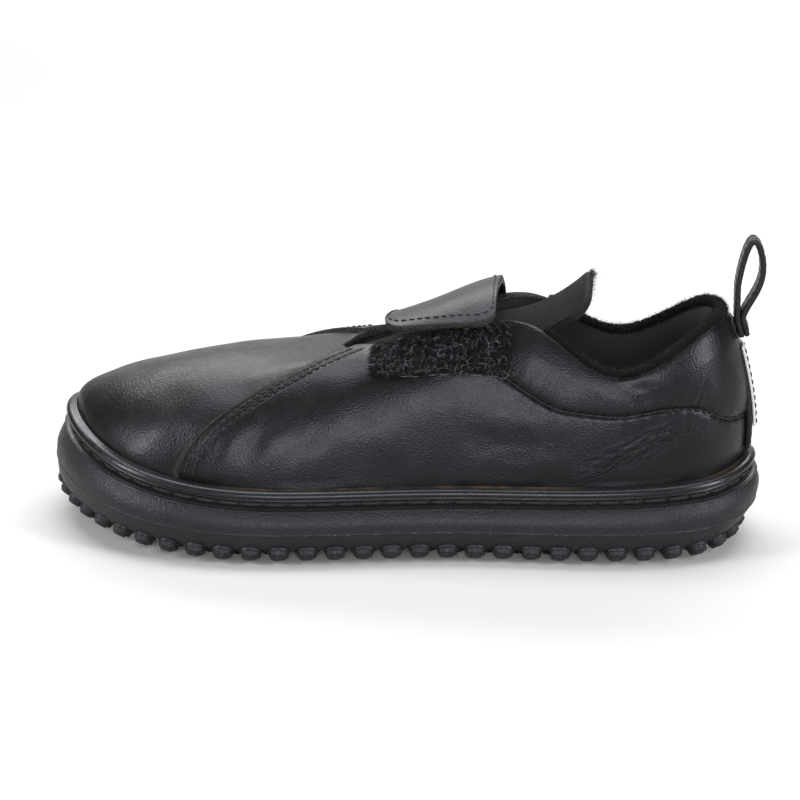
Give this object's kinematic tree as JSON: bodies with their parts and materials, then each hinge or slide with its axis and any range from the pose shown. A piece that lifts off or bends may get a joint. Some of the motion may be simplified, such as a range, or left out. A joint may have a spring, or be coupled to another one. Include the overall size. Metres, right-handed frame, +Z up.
{
  "type": "child's soft leather shoe",
  "caption": "Low black leather shoe for a child's left foot, with a stitched rubber cup sole on round studs, a hook-and-loop strap and a heel pull loop.",
  "frame": {"origin": "on the floor under the middle of the sole, at the bottom centre of the shoe's box", "axes": "+X along the shoe towards the heel, +Y towards the inner side of the foot, +Z up"},
  "size_m": [0.2027, 0.0818, 0.0854],
  "materials": {
    "sole_rubber": "moulded matt black rubber with a fine texture and a glossy bead",
    "footbed": "dark brushed textile",
    "upper_leather": "smooth black leather with a fine grain and a soft sheen",
    "tongue_textile": "thick dark ribbed textile with raw edges",
    "pile_edge": "dark grey fuzzy pile",
    "loop_pile": "black tangled loop pile",
    "strap_leather": "smooth black leather with raw cut edges",
    "hook_pile": "black hook tape",
    "heel_leather": "black leather strip",
    "reflective_tape": "silver grey reflective tape",
    "loop_leather": "black leather strip with raw edges"
  },
  "bodies": {
    "root": {"outsole": "sole_rubber", "insole": "footbed", "upper": "upper_leather", "tongue": "tongue_textile", "collar_trim": "pile_edge", "loop_tape": "loop_pile", "strap": "strap_leather", "hook_tape": "hook_pile", "heel_strip": "heel_leather", "reflective_strip": "reflective_tape", "pull_loop": "loop_leather"}
  },
  "joints": []
}
